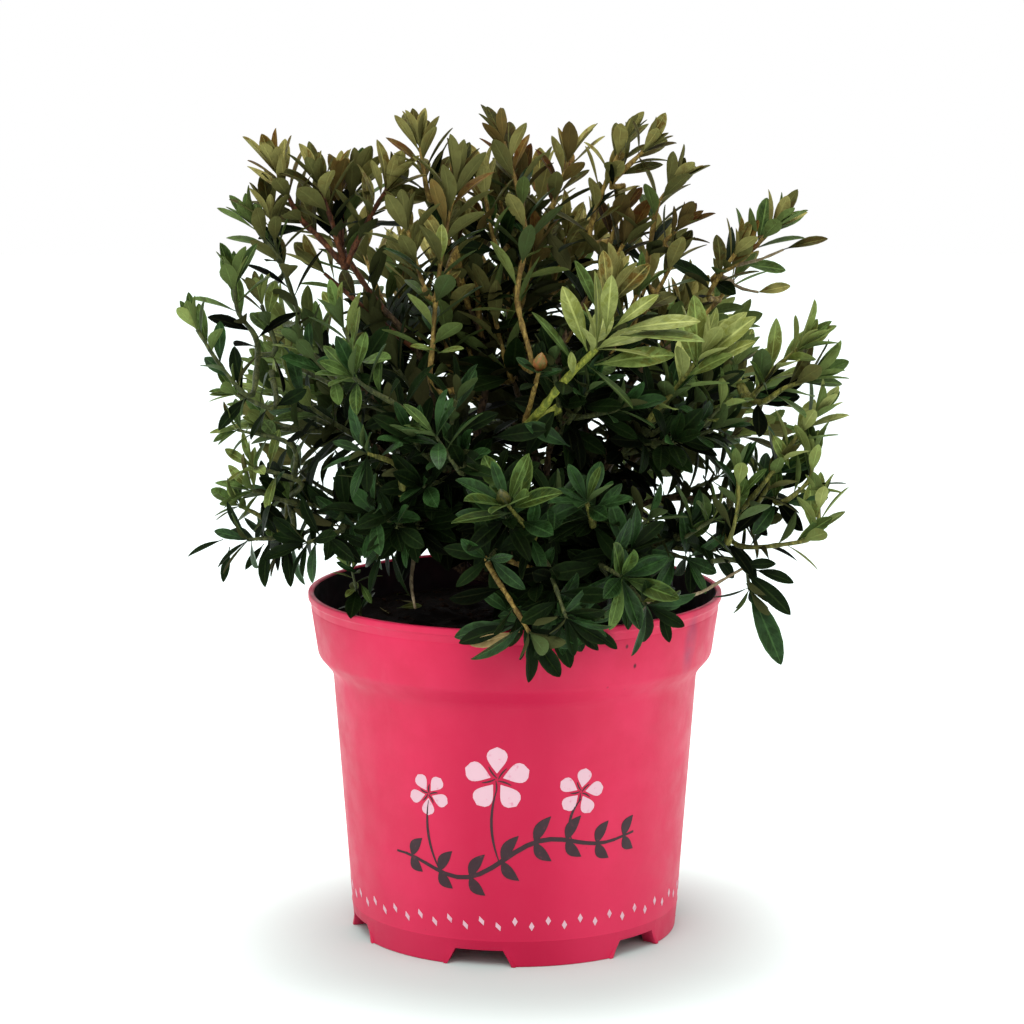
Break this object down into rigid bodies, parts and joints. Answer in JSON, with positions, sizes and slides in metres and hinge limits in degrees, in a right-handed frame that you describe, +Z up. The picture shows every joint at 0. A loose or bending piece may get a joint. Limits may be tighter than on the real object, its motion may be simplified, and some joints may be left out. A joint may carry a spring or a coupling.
{
  "type": "potted dwarf rhododendron",
  "caption": "Compact evergreen dwarf rhododendron with slender leafy shoots, standing in a tapered pink plastic nursery pot of compost.",
  "frame": {"origin": "on the pot's axis at the level its feet stand on, which is also the middle of the plant's width and depth", "axes": "+Z up along the pot's axis; -Y towards the viewer of the pot's printed side; +X to that viewer's right"},
  "size_m": [0.2987, 0.2808, 0.3818],
  "materials": {
    "pot_plastic": "satin moulded plastic, strong pink",
    "compost": "rough dark peat compost with bark chips",
    "bark": "matt tan brown bark",
    "foliage_green": "glossy dark green leaves",
    "foliage_olive": "satin olive leaves",
    "foliage_bronze": "satin bronze brown young leaves",
    "foliage_bright": "satin yellow-green young leaves"
  },
  "bodies": {
    "root": {"back": "foliage_green", "back_left": "foliage_green", "back_right": "foliage_green", "bough_back": "bark", "bough_back_left": "bark", "bough_back_right": "bark", "bough_crest": "bark", "bough_crest_back": "bark", "bough_crest_left": "bark", "bough_crest_right": "bark", "bough_front_bright": "bark", "bough_front_centre": "bark", "bough_front_left": "bark", "bough_front_lip": "bark", "bough_front_low_left": "bark", "bough_front_low_right": "bark", "bough_front_right": "bark", "bough_high_back_left": "bark", "bough_high_back_right": "bark", "bough_left_low": "bark", "bough_left_skirt": "bark", "bough_left_upper": "bark", "bough_left_wing": "bark", "bough_low_back_left": "bark", "bough_low_back_right": "bark", "bough_right_low": "bark", "bough_right_skirt": "bark", "bough_right_upper": "bark", "bough_shoulder_left": "bark", "bough_shoulder_right": "bark", "bough_wing_right": "bark", "compost": "compost", "crest": "foliage_bronze", "crest_back": "foliage_olive", "crest_left": "foliage_bronze", "crest_right": "foliage_bronze", "front_bright": "foliage_bright", "front_centre": "foliage_green", "front_left": "foliage_green", "front_lip": "foliage_green", "front_low_left": "foliage_green", "front_low_right": "foliage_green", "front_right": "foliage_bright", "high_back_left": "foliage_olive", "high_back_right": "foliage_olive", "left_low": "foliage_green", "left_skirt": "foliage_green", "left_upper": "foliage_olive", "left_wing": "foliage_green", "low_back_left": "foliage_green", "low_back_right": "foliage_green", "pot": "pot_plastic", "right_low": "foliage_green", "right_skirt": "foliage_green", "right_upper": "foliage_olive", "shoulder_left": "foliage_bronze", "shoulder_right": "foliage_olive", "trunk": "bark", "wing_right": "foliage_olive"}
  },
  "joints": []
}
